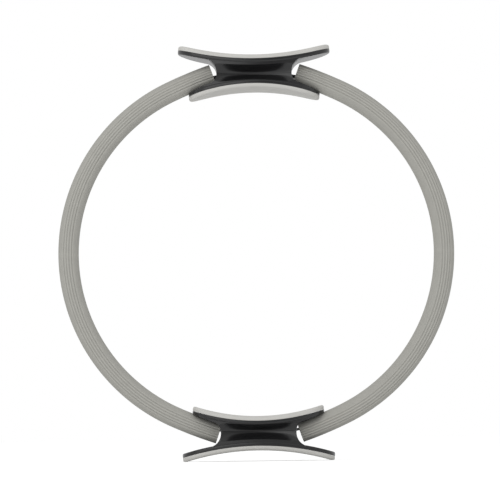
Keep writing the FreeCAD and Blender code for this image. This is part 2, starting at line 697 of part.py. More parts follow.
def shell_hollows(label, shared, ends, core_low, core_depth):
    """Everything that is cut out of a shell."""
    cores = [core_hollow("%s_core_%d" % (label, place), side, core_low, core_depth)
             for place, side in enumerate((-1, 1), start=1)]
    return gathered("MultiFuse", label, shared + ends + cores)


# Plates, necks and pads of the upper handle.
outer_plate = plate("outer_plate", OUTER_CENTRE, 1, "Sizes.outer_seat_radius", OUTER_BACK,
                    "Sizes.outer_plate_length", "Sizes.outer_end_radius", "Sizes.outer_plate_thickness")
inner_plate = plate("inner_plate", INNER_CENTRE, -1, "Sizes.inner_seat_radius", INNER_BACK,
                    "Sizes.inner_plate_length", "Sizes.inner_end_radius", "Sizes.inner_plate_thickness")
outer_pad = pad("upper_outer_pad", OUTER_CENTRE, 1, "Sizes.outer_seat_radius", "Sizes.outer_plate_length",
                "Sizes.outer_end_radius")
stand_flats(outer_pad)
inner_pad = pad("upper_inner_pad", INNER_CENTRE, -1, "Sizes.inner_seat_radius", "Sizes.inner_plate_length",
                "Sizes.inner_end_radius")
hollows = finger_hollows()
outer_blank = gathered("MultiFuse", "outer_blank",
                       [outer_plate, boolean("Cut", "outer_neck_cut", outer_neck(), hollows)])
inner_blank = gathered("MultiFuse", "inner_blank",
                       [inner_plate, boolean("Cut", "inner_neck_cut", inner_neck(), hollows)])

# Springs and sleeve of the left side.
left_outer_leaf = leaf("left_outer_leaf", "Sizes.band_radius + Sizes.leaf_gap / 2",
                       "Sizes.band_radius + " + BAND_HALF)
left_inner_leaf = leaf("left_inner_leaf", "Sizes.band_radius - (%s)" % BAND_HALF,
                       "Sizes.band_radius - Sizes.leaf_gap / 2")
left_sleeve = sleeve("left_sleeve")

# Shells of the upper handle: slots for the bands, saddles for the sleeves, holes for the clamp.
slot_half = "%s + Sizes.band_clearance" % BAND_HALF
left_slot = bow("left_slot", "Sizes.band_radius - (%s)" % slot_half, "Sizes.band_radius + " + slot_half,
                "Sizes.leaf_width / 2 + Sizes.band_clearance", "180")
left_saddle = saddle("left_saddle")
sides = [left_slot, mirrored(left_slot, "right_slot", SIDEWAYS),
         left_saddle, mirrored(left_saddle, "right_saddle", SIDEWAYS)]
nut_floor = "%s - Sizes.nut_floor" % PARTING
shanks = [rod("screw_hole_%d" % number, "Sizes.screw_diameter / 2 + Sizes.screw_clearance", place,
              "%s - Sizes.inner_shell_height" % PARTING,
              "Sizes.inner_shell_height + Sizes.washer_floor + Sizes.trim_allowance")
          for number, place in enumerate(SCREW_PLACES, start=1)]
washer_bores = [rod("washer_bore_%d" % number, "Sizes.washer_diameter / 2 + Sizes.washer_clearance", place,
                    "%s + Sizes.washer_floor" % PARTING, "Sizes.outer_shell_height")
                for number, place in enumerate(SCREW_PLACES, start=1)]
nut_pockets = [hexagon("nut_pocket_%d" % number, "Sizes.nut_flats + 2 * Sizes.nut_clearance", place,
                       "%s - Sizes.inner_shell_height" % nut_floor, "Sizes.inner_shell_height")
               for number, place in enumerate(SCREW_PLACES, start=1)]
outer_hollows = shell_hollows("outer_hollows", sides + shanks, washer_bores,
                              "%s - Sizes.trim_allowance" % PARTING,
                              "Sizes.core_outer_depth + Sizes.trim_allowance")
inner_hollows = shell_hollows("inner_hollows", sides + shanks, nut_pockets,
                              "%s - Sizes.core_inner_depth" % PARTING,
                              "Sizes.core_inner_depth + Sizes.trim_allowance")
outer_shell = boolean("Cut", "upper_outer_shell", outer_blank, outer_hollows)
inner_shell = boolean("Cut", "upper_inner_shell", inner_blank, inner_hollows)
screws = hardware("upper_clamp_screws", clamp_screw)
washers = hardware("upper_clamp_washers", clamp_washer)
nuts = hardware("upper_clamp_nuts", clamp_nut)

# The lower handle and the right side mirror the upper handle and the left side.
UPPER = [outer_shell, inner_shell, outer_pad, inner_pad, screws, washers, nuts]
LEFT = [left_sleeve, left_outer_leaf, left_inner_leaf]
sub_parts = list(UPPER + LEFT)
for item in UPPER:
    sub_parts.append(mirrored(item, item.Label.replace("upper", "lower"), UPWARD))
for item in LEFT:
    sub_parts.append(mirrored(item, item.Label.replace("left", "right"), SIDEWAYS))
doc.recompute()

# Nothing is written unless every object and every sub-part is sound.
for item in doc.Objects:
    if "Invalid" in item.State or "Error" in item.State:
        raise RuntimeError("%s did not build: %s" % (item.Label, item.State))
for item in sub_parts:
    if item.Shape.isNull() or not item.Shape.isValid() or item.Shape.Volume <= 0:
        raise RuntimeError("%s has no sound shape" % item.Label)

os.makedirs("parts", exist_ok=True)
for item in sub_parts:
    item.Shape.exportStep("parts/%s.step" % item.Label)
    print("%-22s %d solids, %9.1f cubic mm" % (item.Label, len(item.Shape.Solids), item.Shape.Volume))
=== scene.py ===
# %% [markdown]
# # A pilates ring
# The ring is two bows of spring steel in ribbed sleeves, held by a padded handle above and below.
# The measured model comes first: it fixes where each piece is and how it moves. Each cell after that
# makes one piece or one finish, and says what it is on the real ring and why it is made that way here.

# %% The measured model
import math

import bmesh
import bpy
from mathutils import Matrix, Vector


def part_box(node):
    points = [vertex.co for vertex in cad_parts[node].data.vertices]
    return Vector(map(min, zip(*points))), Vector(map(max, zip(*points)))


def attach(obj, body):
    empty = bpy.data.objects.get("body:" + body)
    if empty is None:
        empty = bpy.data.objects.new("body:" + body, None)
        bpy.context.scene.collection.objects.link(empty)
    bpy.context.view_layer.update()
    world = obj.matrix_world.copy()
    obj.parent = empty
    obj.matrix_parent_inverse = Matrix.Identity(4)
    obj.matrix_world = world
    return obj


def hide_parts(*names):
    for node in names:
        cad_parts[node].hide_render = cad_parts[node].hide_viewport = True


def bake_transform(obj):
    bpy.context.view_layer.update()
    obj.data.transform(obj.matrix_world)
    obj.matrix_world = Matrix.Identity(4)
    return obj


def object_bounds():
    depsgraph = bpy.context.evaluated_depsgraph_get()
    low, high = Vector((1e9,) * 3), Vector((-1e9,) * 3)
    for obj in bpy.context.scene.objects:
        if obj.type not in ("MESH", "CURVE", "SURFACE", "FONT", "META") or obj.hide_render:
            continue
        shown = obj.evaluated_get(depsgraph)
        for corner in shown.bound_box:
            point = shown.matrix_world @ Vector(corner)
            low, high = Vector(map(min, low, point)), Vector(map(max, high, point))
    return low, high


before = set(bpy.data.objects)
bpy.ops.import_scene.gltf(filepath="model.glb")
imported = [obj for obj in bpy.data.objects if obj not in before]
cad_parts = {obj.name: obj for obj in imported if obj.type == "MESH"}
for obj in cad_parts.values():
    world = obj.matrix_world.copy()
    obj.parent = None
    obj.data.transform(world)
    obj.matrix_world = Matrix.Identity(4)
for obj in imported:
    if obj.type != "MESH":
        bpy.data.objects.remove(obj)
cad_low, cad_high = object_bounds()
MM = 0.001
print("measured box in mm:", [round(edge / MM, 1) for edge in cad_high - cad_low])

# %% [markdown]
# ## Two helpers
# Colours are written as sRGB hex values, the way a colour picker shows them, but the renderer works in
# linear light, so one function converts them. A node tree, for a finish or for a shape, is only nodes and
# links, so one function adds a node, sets it up and feeds its inputs from values or from other nodes.


# %% Colour and node helpers
def linear(hex_colour):
    """An sRGB hex colour as linear red, green, blue and alpha."""
    channels = [int(hex_colour[k:k + 2], 16) / 255 for k in (1, 3, 5)]
    curve = [c / 12.92 if c <= 0.04045 else ((c + 0.055) / 1.055) ** 2.4 for c in channels]
    return (*curve, 1.0)


def add(tree, kind, inputs=None, **settings):
    """Adds a node with its settings. Each input is a value, or a socket to link from."""
    node = tree.nodes.new(kind)
    for name, value in settings.items():
        setattr(node, name, value)
    for name, value in (inputs or {}).items():
        if isinstance(value, bpy.types.NodeSocket):
            tree.links.new(value, node.inputs[name])
        else:
            node.inputs[name].default_value = value
    return node


print("a mid grey, linear:", [round(c, 3) for c in linear("#808080")[:3]])

# %% [markdown]
# ## Camera
# The photograph looks at the ring from the front with a long lens, from about the height of the lower
# handle: the lower handle is seen edge-on, and the upper one a little from below. The camera stands far
# back with a narrow view to match, and leans sideways by under a degree, as the ring does in the picture.

# %% Camera
CAMERA_PLACE = Vector((-0.006, -3.37, -0.173))
CAMERA_TARGET = Vector((-0.0060, 0.0, 0.0029))
CAMERA_FIELD = 480 * MM
CAMERA_ROLL = math.radians(-0.75)
SENSOR = 36.0

camera_data = bpy.data.cameras.new("camera")
camera_data.sensor_width = SENSOR
camera_data.lens = SENSOR * (CAMERA_TARGET - CAMERA_PLACE).length / CAMERA_FIELD
camera = bpy.data.objects.new("camera", camera_data)
bpy.context.scene.collection.objects.link(camera)
aim = (CAMERA_TARGET - CAMERA_PLACE).to_track_quat("-Z", "Y").to_matrix().to_4x4()
camera.matrix_world = Matrix.Translation(CAMERA_PLACE) @ aim @ Matrix.Rotation(CAMERA_ROLL, 4, "Z")
bpy.context.scene.camera = camera
print("lens in mm:", round(camera_data.lens, 1))

# %% [markdown]
# ## Light
# The picture is a plain studio one: white all round and soft light from the upper left. The world gives
# the even part of that light. Rays from the camera see it as plain white, so the background is white
# without more light on the ring. Glossy surfaces see it white too, apart from the dark room behind the
# camera: that keeps the fronts of the black handles dark, with a sheen along their edges.

# %% World
WHITE_LEVEL = 1.0
WORLD_LEVEL = 0.78
# The dark room by the Y of a reflected ray: darkest straight behind the camera, and white from its edge on.
DARK_MIDDLE = -1.0
DARK_EDGE = -0.7

scene = bpy.context.scene
scene.view_settings.view_transform = "Standard"

world = bpy.data.worlds.new("white_studio")
scene.world = world
world.use_nodes = True
tree = world.node_tree
tree.nodes.clear()
path = add(tree, "ShaderNodeLightPath")
seen = add(tree, "ShaderNodeMath",
           {0: path.outputs["Is Camera Ray"], 1: path.outputs["Is Transmission Ray"]}, operation="MAXIMUM")
way = add(tree, "ShaderNodeSeparateXYZ", {0: add(tree, "ShaderNodeTexCoord").outputs["Generated"]})
room = add(tree, "ShaderNodeMapRange", {"Value": way.outputs["Y"], "From Min": DARK_MIDDLE,
                                        "From Max": DARK_EDGE, "To Min": 0.0, "To Max": WHITE_LEVEL})
sheen = add(tree, "ShaderNodeMapRange", {"Value": path.outputs["Is Glossy Ray"], "To Min": WORLD_LEVEL,
                                         "To Max": room.outputs[0]})
level = add(tree, "ShaderNodeMapRange", {"Value": seen.outputs[0], "To Min": sheen.outputs[0],
                                         "To Max": WHITE_LEVEL})
backdrop = add(tree, "ShaderNodeBackground", {"Color": linear("#ffffff"), "Strength": level.outputs[0]})
add(tree, "ShaderNodeOutputWorld", {"Surface": backdrop.outputs[0]})
print("made world:", world.name, "with", len(tree.nodes), "nodes")

# %% Lamps
KEY_LIGHT = {"place": (-1.4, -3.0, 1.2), "width": 2.6, "watts": 38.0}
FILL_LIGHT = {"place": (1.9, -2.6, 0.3), "width": 2.4, "watts": 3.0}

for name, light in (("key_light", KEY_LIGHT), ("fill_light", FILL_LIGHT)):
    data = bpy.data.lights.new(name, "AREA")
    data.size = light["width"]
    data.energy = light["watts"]
    lamp = bpy.data.objects.new(name, data)
    scene.collection.objects.link(lamp)
    place = Vector(light["place"])
    to_ring = (-place).to_track_quat("-Z", "Y").to_matrix().to_4x4()
    lamp.matrix_world = Matrix.Translation(place) @ to_ring
    print("made", lamp.name, "of", data.energy, "W")

# %% [markdown]
# ## Floor
# The ring stands on white paper that runs out of the picture. Lit paper alone would be a light grey
# against the white background, and more light would bleach the ring. So the paper glows a little, but
# only to the camera and in reflections: it meets the background, and it keeps the ring's shadow.

# %% Floor
FLOOR_SIZE = 24.0
FLOOR_GAP = 0.2 * MM
FLOOR_LIFT = 0.34

bpy.ops.mesh.primitive_plane_add(size=FLOOR_SIZE, location=(0, 0, cad_low.z - FLOOR_GAP))
floor = bpy.context.object
floor.name = "floor"
paper = bpy.data.materials.new("matt white studio paper")
paper.use_nodes = True
tree = paper.node_tree
tree.nodes.clear()
path = add(tree, "ShaderNodeLightPath")
matt = add(tree, "ShaderNodeBsdfDiffuse", {"Color": linear("#f0f0f0")})
glow = add(tree, "ShaderNodeEmission", {"Color": linear("#ffffff"), "Strength": FLOOR_LIFT})
lifted = add(tree, "ShaderNodeAddShader", {0: matt.outputs[0], 1: glow.outputs[0]})
seen = add(tree, "ShaderNodeMath",
           {0: path.outputs["Is Camera Ray"], 1: path.outputs["Is Transmission Ray"]}, operation="MAXIMUM")
seen = add(tree, "ShaderNodeMath", {0: seen.outputs[0], 1: path.outputs["Is Glossy Ray"]},
           operation="MAXIMUM")
shown = add(tree, "ShaderNodeMixShader", {0: seen.outputs[0], 1: matt.outputs[0], 2: lifted.outputs[0]})
add(tree, "ShaderNodeOutputMaterial", {"Surface": shown.outputs[0]})
floor.data.materials.append(paper)
print("floor at", round(floor.location.z / MM, 1), "mm")

# %% [markdown]
# ## Finishes
# Each finish starts from the real material, and from what its making leaves on the surface. All patterns
# are sized in millimetres on Object coordinates, so they need no unwrapping and keep their size on every
# piece. The finest ones are drawn coarser than they are, because a pixel of the picture is about 1 mm.


# %% Start of a finish
def finish(name):
    """A new material with one surface shader, and its coordinates in metres."""
    material = bpy.data.materials.new(name)
    material.use_nodes = True
    tree = material.node_tree
    tree.nodes.clear()
    shader = add(tree, "ShaderNodeBsdfPrincipled")
    add(tree, "ShaderNodeOutputMaterial", {"Surface": shader.outputs["BSDF"]})
    place = add(tree, "ShaderNodeTexCoord").outputs["Object"]
    return material, tree, shader, place


def per_mm(width):
    """The scale that gives a texture features of about this width in millimetres."""
    return 1.0 / (width * MM)


# A Mix node has sockets for each type of data. These are the numbers of its colour ones.
MIX_A, MIX_B, MIX_RESULT = 6, 7, 2
print("a pattern of 1 mm has scale", per_mm(1.0))

# %% [markdown]
# ### Black moulded ABS
# The shells of the handles are injection mouldings. Their mould is spark-eroded, which leaves an even
# grain and turns the gloss of the plastic into a soft sheen. The grain is a bump from fine noise, and
# wider noise makes the sheen a little uneven, as moulded plastic is where it cooled at different speeds.

# %% Black moulded ABS
# To the eye this is a black with a grey sheen: the colour is nearly nothing, and what shows is the white
# studio in the dull grain. The real grain is under 0.1 mm, and is drawn coarser so that it shows.
ABS_COLOUR = "#171718"
ABS_IOR = 1.46
ABS_ROUGHNESS = (0.26, 0.34)
ABS_GRAIN_MM = 0.45
ABS_GRAIN_HEIGHT = 0.05 * MM
ABS_GRAIN_STRENGTH = 0.12
ABS_CLOUD_MM = 14.0

abs_black, tree, shader, place = finish("black ABS, spark-eroded moulding")
shader.inputs["Base Color"].default_value = linear(ABS_COLOUR)
shader.inputs["IOR"].default_value = ABS_IOR
grain = add(tree, "ShaderNodeTexNoise", {"Vector": place, "Scale": per_mm(ABS_GRAIN_MM), "Detail": 2.0})
cloud = add(tree, "ShaderNodeTexNoise", {"Vector": place, "Scale": per_mm(ABS_CLOUD_MM), "Detail": 3.0})
dull = add(tree, "ShaderNodeMapRange", {"Value": cloud.outputs["Fac"], "To Min": ABS_ROUGHNESS[0],
                                        "To Max": ABS_ROUGHNESS[1]})
bump = add(tree, "ShaderNodeBump", {"Height": grain.outputs["Fac"], "Strength": ABS_GRAIN_STRENGTH,
                                    "Distance": ABS_GRAIN_HEIGHT})
tree.links.new(dull.outputs[0], shader.inputs["Roughness"])
tree.links.new(bump.outputs[0], shader.inputs["Normal"])
print("made", abs_black.name)

# %% [markdown]
# ### Light grey EVA foam
# The pads are moulded from closed-cell foam, whose skin is dull and soft to the hand. Its cells show as
# pin pricks, which a Voronoi pattern gives as a bump, because its value grows away from each cell's middle.

# %% Light grey EVA foam
# To the eye this is a dull light grey with a faint cloudiness. The real cells are about 0.2 mm, and are
# drawn coarser so that they show.
EVA_TONES = ("#bcbbb7", "#c5c4c0")
EVA_IOR = 1.4
EVA_ROUGHNESS = 0.78
EVA_CELL_MM = 0.55
EVA_CELL_HEIGHT = 0.08 * MM
EVA_CELL_STRENGTH = 0.25
EVA_CLOUD_MM = 18.0

eva_grey, tree, shader, place = finish("light grey EVA foam, moulded skin")
cells = add(tree, "ShaderNodeTexVoronoi", {"Vector": place, "Scale": per_mm(EVA_CELL_MM)})
cloud = add(tree, "ShaderNodeTexNoise", {"Vector": place, "Scale": per_mm(EVA_CLOUD_MM), "Detail": 4.0})
tone = add(tree, "ShaderNodeMix", {"Factor": cloud.outputs["Fac"], MIX_A: linear(EVA_TONES[0]),
                                   MIX_B: linear(EVA_TONES[1])}, data_type="RGBA")
bump = add(tree, "ShaderNodeBump", {"Height": cells.outputs["Distance"], "Strength": EVA_CELL_STRENGTH,
                                    "Distance": EVA_CELL_HEIGHT})
shader.inputs["Roughness"].default_value = EVA_ROUGHNESS
shader.inputs["IOR"].default_value = EVA_IOR
tree.links.new(tone.outputs[MIX_RESULT], shader.inputs["Base Color"])
tree.links.new(bump.outputs[0], shader.inputs["Normal"])
print("made", eva_grey.name)

# %% [markdown]
# ### Warm grey foam rubber
# The sleeves are extruded, so their skin is rougher and duller than the pads'. The ribs are painted lighter
# and the grooves darker, as painted light and painted shade. A pattern in space can't know where a groove
# is, so the sleeve's own mesh will carry a "groove" value, and the finish reads it.

# %% Warm grey foam rubber
# To the eye this is a warm grey, with painted light on the ribs and painted shade along each groove.
# Its grain is drawn coarser so that it shows.
RUBBER_TONES = ("#9e9d97", "#a6a59f")
RUBBER_IOR = 1.4
RUBBER_ROUGHNESS = 0.85
RUBBER_GRAIN_MM = 0.6
RUBBER_GRAIN_HEIGHT = 0.08 * MM
RUBBER_GRAIN_STRENGTH = 0.3
RUBBER_CLOUD_MM = 9.0
# Painted light on the ribs and painted shade in the grooves, as factors on the colour.
RIB_PAINTED_LIGHT = 1.1
GROOVE_PAINTED_SHADE = 0.88

rubber_grey, tree, shader, place = finish("warm grey foam rubber, extruded")
grain = add(tree, "ShaderNodeTexNoise", {"Vector": place, "Scale": per_mm(RUBBER_GRAIN_MM), "Detail": 3.0})
cloud = add(tree, "ShaderNodeTexNoise", {"Vector": place, "Scale": per_mm(RUBBER_CLOUD_MM), "Detail": 4.0})
tone = add(tree, "ShaderNodeMix", {"Factor": cloud.outputs["Fac"], MIX_A: linear(RUBBER_TONES[0]),
                                   MIX_B: linear(RUBBER_TONES[1])}, data_type="RGBA")
# The groove value sets the painted light on the ribs and the painted shade in the grooves.
groove = add(tree, "ShaderNodeAttribute", attribute_name="groove")
painted_light_and_shade = add(tree, "ShaderNodeMapRange", {"Value": groove.outputs["Fac"], "To Min": RIB_PAINTED_LIGHT,
                                        "To Max": GROOVE_PAINTED_SHADE})
shaded = add(tree, "ShaderNodeVectorMath", {0: tone.outputs[MIX_RESULT], "Scale": painted_light_and_shade.outputs[0]},
             operation="SCALE")
bump = add(tree, "ShaderNodeBump", {"Height": grain.outputs["Fac"], "Strength": RUBBER_GRAIN_STRENGTH,
                                    "Distance": RUBBER_GRAIN_HEIGHT})
shader.inputs["Roughness"].default_value = RUBBER_ROUGHNESS
shader.inputs["IOR"].default_value = RUBBER_IOR
tree.links.new(shaded.outputs[0], shader.inputs["Base Color"])
tree.links.new(bump.outputs[0], shader.inputs["Normal"])
print("made", rubber_grey.name)

# %% [markdown]
# ### Two metals
# The spring leaves are hardened strip, blackened in hot oil against rust. The screws, washers and nuts are
# plated with zinc. On both the colour is even, and the surface shows by where it is duller, so the pattern
# goes into the roughness.

# %% Blackened spring steel
# To the eye this is a dark metal, duller in patches where the oil dried.
STEEL_COLOUR = "#1b1b1d"
STEEL_METALLIC = 0.6
STEEL_ROUGHNESS = (0.38, 0.6)
STEEL_PATCH_MM = 1.2

steel_black, tree, shader, place = finish("spring steel, oil blackened")
patches = add(tree, "ShaderNodeTexNoise", {"Vector": place, "Scale": per_mm(STEEL_PATCH_MM), "Detail": 3.0})
dull = add(tree, "ShaderNodeMapRange", {"Value": patches.outputs["Fac"], "To Min": STEEL_ROUGHNESS[0],
                                        "To Max": STEEL_ROUGHNESS[1]})
shader.inputs["Base Color"].default_value = linear(STEEL_COLOUR)
shader.inputs["Metallic"].default_value = STEEL_METALLIC
tree.links.new(dull.outputs[0], shader.inputs["Roughness"])
print("made", steel_black.name)

# %% Zinc plated steel
# To the eye this is a bluish bright metal with a crystalline mottle, drawn coarser so that it shows.
ZINC_COLOUR = "#c3c7cc"
ZINC_METALLIC = 1.0
ZINC_ROUGHNESS = (0.22, 0.38)
ZINC_CRYSTAL_MM = 0.7

zinc, tree, shader, place = finish("steel, bright zinc plated")
crystal = add(tree, "ShaderNodeTexVoronoi", {"Vector": place, "Scale": per_mm(ZINC_CRYSTAL_MM)})
dull = add(tree, "ShaderNodeMapRange", {"Value": crystal.outputs["Distance"], "To Min": ZINC_ROUGHNESS[0],
                                        "To Max": ZINC_ROUGHNESS[1]})
shader.inputs["Base Color"].default_value = linear(ZINC_COLOUR)
shader.inputs["Metallic"].default_value = ZINC_METALLIC
tree.links.new(dull.outputs[0], shader.inputs["Roughness"])
print("made", zinc.name)

# %% [markdown]
# ## Bending a straight strip
# Sleeves and spring leaves are made straight and then bent, in the factory as here. A node group does the
# bending: it takes a piece that stands along Z, with its clamped end at the bottom, and wraps it round the
# ring's bend, so that X in its section points outward. One group serves the sleeves and the leaves, so
# that they can never disagree about where the bend is.

# %% Bend group
BEND_INPUTS = {"Bend Radius": "Float", "Bend Centre": "Float", "Clamped Angle": "Float", "Turn": "Float"}


def shape_tree(name, inputs):
    """A new geometry node tree with named inputs, and the node that hands them out."""
    tree = bpy.data.node_groups.new(name, "GeometryNodeTree")
    tree.interface.new_socket("Geometry", in_out="OUTPUT", socket_type="NodeSocketGeometry")
    for label, kind in inputs.items():
        tree.interface.new_socket(label, in_out="INPUT", socket_type="NodeSocket" + kind)
    return tree, add(tree, "NodeGroupInput")


bend, given = shape_tree("bend round the ring", {"Geometry": "Geometry", **BEND_INPUTS})
here = add(bend, "ShaderNodeSeparateXYZ", {0: add(bend, "GeometryNodeInputPosition").outputs[0]})
run = add(bend, "ShaderNodeMath", {0: here.outputs["Z"], 1: given.outputs["Bend Radius"]},
          operation="DIVIDE")
angle = add(bend, "ShaderNodeMath", {0: run.outputs[0], 1: given.outputs["Turn"],
                                     2: given.outputs["Clamped Angle"]}, operation="MULTIPLY_ADD")
arm = add(bend, "ShaderNodeMath", {0: here.outputs["X"], 1: given.outputs["Bend Radius"]}, operation="ADD")
cosine = add(bend, "ShaderNodeMath", {0: angle.outputs[0]}, operation="COSINE")
sine = add(bend, "ShaderNodeMath", {0: angle.outputs[0]}, operation="SINE")
across = add(bend, "ShaderNodeMath", {0: arm.outputs[0], 1: cosine.outputs[0],
                                      2: given.outputs["Bend Centre"]}, operation="MULTIPLY_ADD")
upward = add(bend, "ShaderNodeMath", {0: arm.outputs[0], 1: sine.outputs[0]}, operation="MULTIPLY")
bent = add(bend, "ShaderNodeCombineXYZ",
           {"X": across.outputs[0], "Y": here.outputs["Y"], "Z": upward.outputs[0]})
moved = add(bend, "GeometryNodeSetPosition",
            {"Geometry": given.outputs["Geometry"], "Position": bent.outputs[0]})
add(bend, "NodeGroupOutput", {0: moved.outputs[0]})
print("made node group:", bend.name)


# %% End of a shape
def bend_and_paint(tree, given, straight):
    """Ends a tree: bends the straight piece round the ring, makes it real and gives it its finish."""
    curved = add(tree, "GeometryNodeGroup", node_tree=bend)
    tree.links.new(straight, curved.inputs["Geometry"])
    for name in BEND_INPUTS:
        tree.links.new(given.outputs[name], curved.inputs[name])
    real = add(tree, "GeometryNodeRealizeInstances", {"Geometry": curved.outputs[0]})
    painted = add(tree, "GeometryNodeSetMaterial",
                  {"Geometry": real.outputs[0], "Material": given.outputs["Finish"]})
    add(tree, "NodeGroupOutput", {0: painted.outputs[0]})
    print("made node tree:", tree.name, "with", len(tree.nodes), "nodes")


print("sleeves and leaves both take:", ", ".join(BEND_INPUTS))

# %% [markdown]
# ## Where the bows run
# Each bow is clamped in both handles, and the two handles move apart or together. So each sleeve and each
# leaf is made as an upper and a lower half that meet at the ring's widest point: a half can follow its
# handle at one end and the bow at the other. The radii and the ends are read from the measured model.

# %% Bows
LEAF_THICKNESS = 1.2 * MM
LEAF_GAP = 0.1 * MM
LEAF_END = math.radians(0.4)
SLEEVE_RADIUS = 9.8 * MM
QUARTER_TURN = math.pi / 2

leaf_low, leaf_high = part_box("left_outer_leaf")
sleeve_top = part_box("left_sleeve")[1].z
leaf_width = leaf_high.y - leaf_low.y
bow_outside = leaf_high.z / math.cos(LEAF_END)
bow_offset = -leaf_low.x - bow_outside
bow_radius = bow_outside - LEAF_THICKNESS - LEAF_GAP / 2
sleeve_reach = math.asin(sleeve_top / (bow_radius + SLEEVE_RADIUS))
leaf_reach = QUARTER_TURN - LEAF_END

# The halves by name: the bow's side, the angle at its widest point, and the turn from the handle to there.
HALVES = {
    "right_upper": (1, 0.0, -1),
    "left_upper": (-1, math.pi, 1),
    "left_lower": (-1, math.pi, -1),
    "right_lower": (1, math.tau, 1),
}


print("bow radius", round(bow_radius / MM, 2), "offset", round(bow_offset / MM, 2),
      "sleeve reach in degrees", round(math.degrees(sleeve_reach), 2))

# %% [markdown]
# ## From nodes to a piece
# The same steps turn a node tree into each half: set the tree's inputs and take the finished mesh. The bend
# runs backwards in two of the halves, which turns their faces inside out, so those are turned back.

# %% Half pieces
# The halves stop a hair short of the widest point, so that their end faces never cross.
HALF_GAP = 0.005 * MM
SHARP_EDGE = math.radians(40.0)


def half_mesh(tree, values):
    """Evaluates a node tree with these values on an empty holder, and keeps the mesh alone."""
    holder = bpy.data.objects.new("holder", bpy.data.meshes.new("holder"))
    scene.collection.objects.link(holder)
    modifier = holder.modifiers.new("shape", "NODES")
    modifier.node_group = tree
    for item in tree.interface.items_tree:
        if item.in_out == "INPUT":
            modifier[item.identifier] = values[item.name]
    graph = bpy.context.evaluated_depsgraph_get()
    mesh = bpy.data.meshes.new_from_object(holder.evaluated_get(graph))
    bpy.data.objects.remove(holder)
    return mesh


def half_piece(label, name, tree, settings, reach):
    """One half of a sleeve or leaf as a plain mesh, bent round the ring."""
    side, widest, turn = HALVES[name]
    mesh = half_mesh(tree, {
        **settings, "Length": bow_radius * reach - HALF_GAP, "Bend Radius": bow_radius,
        "Bend Centre": side * bow_offset, "Clamped Angle": widest - turn * reach, "Turn": float(turn),
    })
    if turn < 0:
        mesh.flip_normals()
    mesh.shade_smooth()
    mesh.set_sharp_from_angle(angle=SHARP_EDGE)
    piece = bpy.data.objects.new(label, mesh)
    scene.collection.objects.link(piece)
    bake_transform(piece)
    return piece


# %% [markdown]
# ## Ribbed sleeves
# The sleeve is a soft extrusion with a few grooves along its front and its back, and a flat slot inside
# for the steel. An extrusion is one section pushed along a path, which is what nodes do well: a circle
# whose radius follows a wave makes the grooves, a rectangle makes the slot, and both run along a straight
# line that is then bent. First each point of the circle needs to know how many groove pitches it lies
# from the middle of the front or the back.

# %% Round the sleeve
SLEEVE_INPUTS = {
    "Length": "Float", "Sleeve Radius": "Float", "Groove Depth": "Float", "Groove Pitch": "Float",
    "Groove Sharpness": "Float", "Groove Turn": "Float", "Slot Thickness": "Float", "Slot Width": "Float",
    "End Lift": "Float", "Lift Run": "Float", "Grooves": "Int", "Points Round": "Int", "Steps": "Int",
    "Finish": "Material",
}

sleeve, given = shape_tree("ribbed sleeve", {**BEND_INPUTS, **SLEEVE_INPUTS})
circle = add(sleeve, "GeometryNodeCurvePrimitiveCircle",
             {"Resolution": given.outputs["Points Round"], "Radius": given.outputs["Sleeve Radius"]})
place = add(sleeve, "GeometryNodeInputPosition").outputs[0]
turned = add(sleeve, "ShaderNodeVectorRotate", {"Vector": place, "Angle": given.outputs["Groove Turn"]},
             rotation_type="Z_AXIS")
turned = add(sleeve, "ShaderNodeSeparateXYZ", {0: turned.outputs[0]})
facing = add(sleeve, "ShaderNodeMath", {0: turned.outputs["Y"]}, operation="ABSOLUTE")
angle = add(sleeve, "ShaderNodeMath", {0: turned.outputs["X"], 1: facing.outputs[0]}, operation="ARCTAN2")
way_round = add(sleeve, "ShaderNodeMath", {0: angle.outputs[0], 1: given.outputs["Sleeve Radius"]},
                operation="MULTIPLY")
pitches = add(sleeve, "ShaderNodeMath", {0: way_round.outputs[0], 1: given.outputs["Groove Pitch"]},
              operation="DIVIDE")
print("the sleeve has", len(SLEEVE_INPUTS), "inputs of its own")

# %% [markdown]
# The wave runs only within half of the grooves' count to either side. It is raised to a power, because the
# grooves are narrower than the ribs between them. A "groove" value is stored for the finish's painted light
# and painted shade: 0 on a rib, 1 in a groove, and half of that where the sleeve is smooth.

# %% Grooves and slot
half_count = add(sleeve, "ShaderNodeMath", {0: given.outputs["Grooves"], 1: 0.5}, operation="MULTIPLY")
aside = add(sleeve, "ShaderNodeMath", {0: pitches.outputs[0]}, operation="ABSOLUTE")
grooved = add(sleeve, "ShaderNodeMath", {0: aside.outputs[0], 1: half_count.outputs[0]},
              operation="LESS_THAN")
shifted = add(sleeve, "ShaderNodeMath", {0: pitches.outputs[0], 1: half_count.outputs[0]}, operation="ADD")
phase = add(sleeve, "ShaderNodeMath", {0: shifted.outputs[0], 1: math.tau}, operation="MULTIPLY")
wave = add(sleeve, "ShaderNodeMath", {0: phase.outputs[0]}, operation="COSINE")
